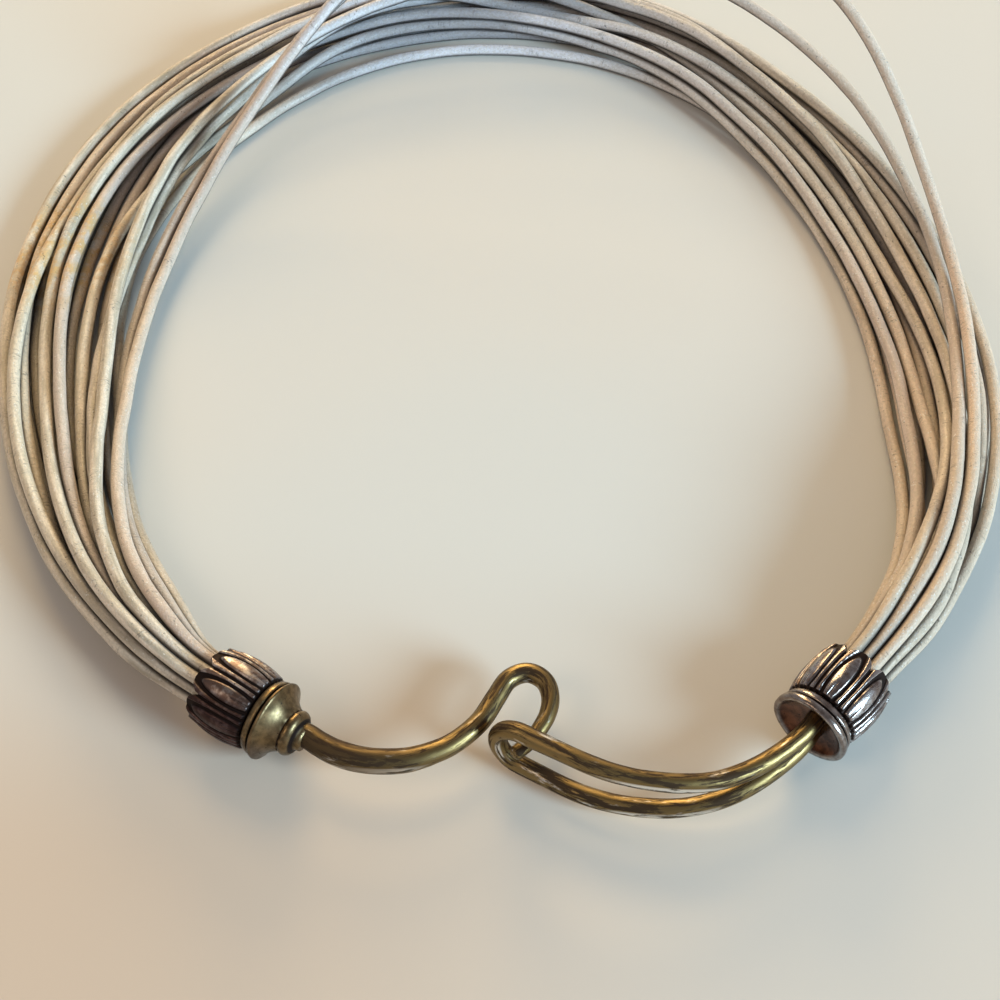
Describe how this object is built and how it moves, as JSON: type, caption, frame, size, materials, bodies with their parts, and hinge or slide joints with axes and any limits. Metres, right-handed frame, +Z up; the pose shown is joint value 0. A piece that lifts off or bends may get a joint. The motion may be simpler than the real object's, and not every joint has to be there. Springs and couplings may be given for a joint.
{
  "type": "choker",
  "caption": "Collar-length choker of smooth round leather strands laid as a loose ring, gathered in two cast petal cups and closed by a wire hook in a long wire eye.",
  "frame": {"origin": "centre of the bounding box in plan, on the table that the choker lies on", "axes": "+Y from the clasp to the back of the ring, along its longest extent; +Z up from the table; +X to the cup with the eye"},
  "size_m": [0.1598, 0.1732, 0.0322],
  "materials": {
    "strand_leather": "off-white pearl leather cord, satin",
    "old_silver": "cast silver, dark in its grooves and worn bright on its edges"
  },
  "bodies": {
    "root": {"strand_01": "strand_leather", "strand_02": "strand_leather", "strand_03": "strand_leather", "strand_04": "strand_leather", "strand_05": "strand_leather", "strand_06": "strand_leather", "strand_07": "strand_leather", "strand_08": "strand_leather", "strand_09": "strand_leather", "strand_10": "strand_leather", "strand_11": "strand_leather", "strand_12": "strand_leather", "strand_13": "strand_leather", "strand_14": "strand_leather", "strand_15": "strand_leather", "strand_16": "strand_leather", "strand_17": "strand_leather", "sprung_strand_inner": "strand_leather", "sprung_strand_outer": "strand_leather", "hook_cup": "old_silver", "eye_cup": "old_silver"}
  },
  "joints": []
}
